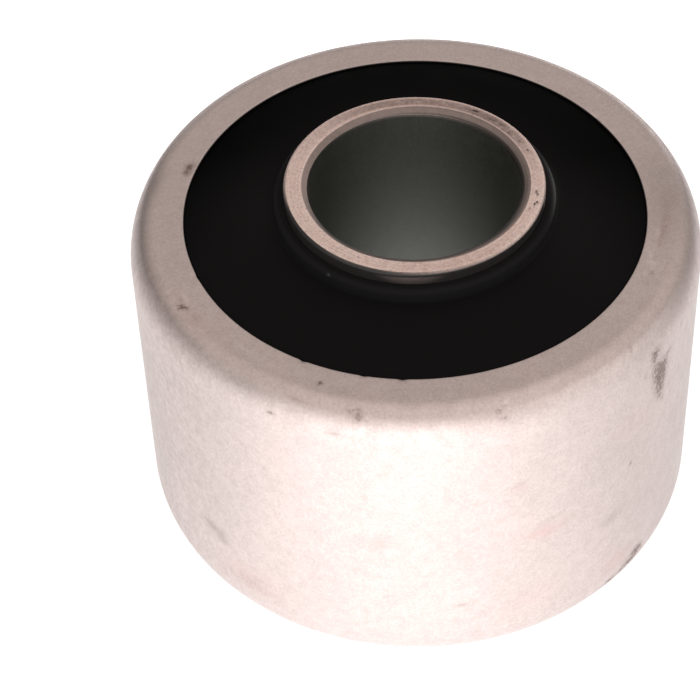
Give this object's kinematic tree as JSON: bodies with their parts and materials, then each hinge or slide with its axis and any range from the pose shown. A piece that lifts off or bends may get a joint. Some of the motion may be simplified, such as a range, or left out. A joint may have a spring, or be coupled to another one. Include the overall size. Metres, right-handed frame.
{
  "type": "rubber metal bush",
  "caption": "Bonded rubber metal bush: a plain steel inner sleeve held by black rubber in a steel outer shell whose ends are rolled in over the rubber.",
  "frame": {"origin": "middle of the bore, halfway between the two ends", "axes": "+Z along the bore, towards the upper end; the bush is round about it and alike at both ends"},
  "size_m": [0.065, 0.065, 0.0494],
  "materials": {
    "shell_steel": "matte phosphated steel, fine mottled grain, light stains",
    "black_rubber": "moulded, smooth satin",
    "tube_steel": "matte turned end face, dull dark bore"
  },
  "bodies": {
    "root": {"outer_sleeve": "shell_steel", "rubber_body": "black_rubber", "inner_sleeve": "tube_steel"}
  },
  "joints": []
}
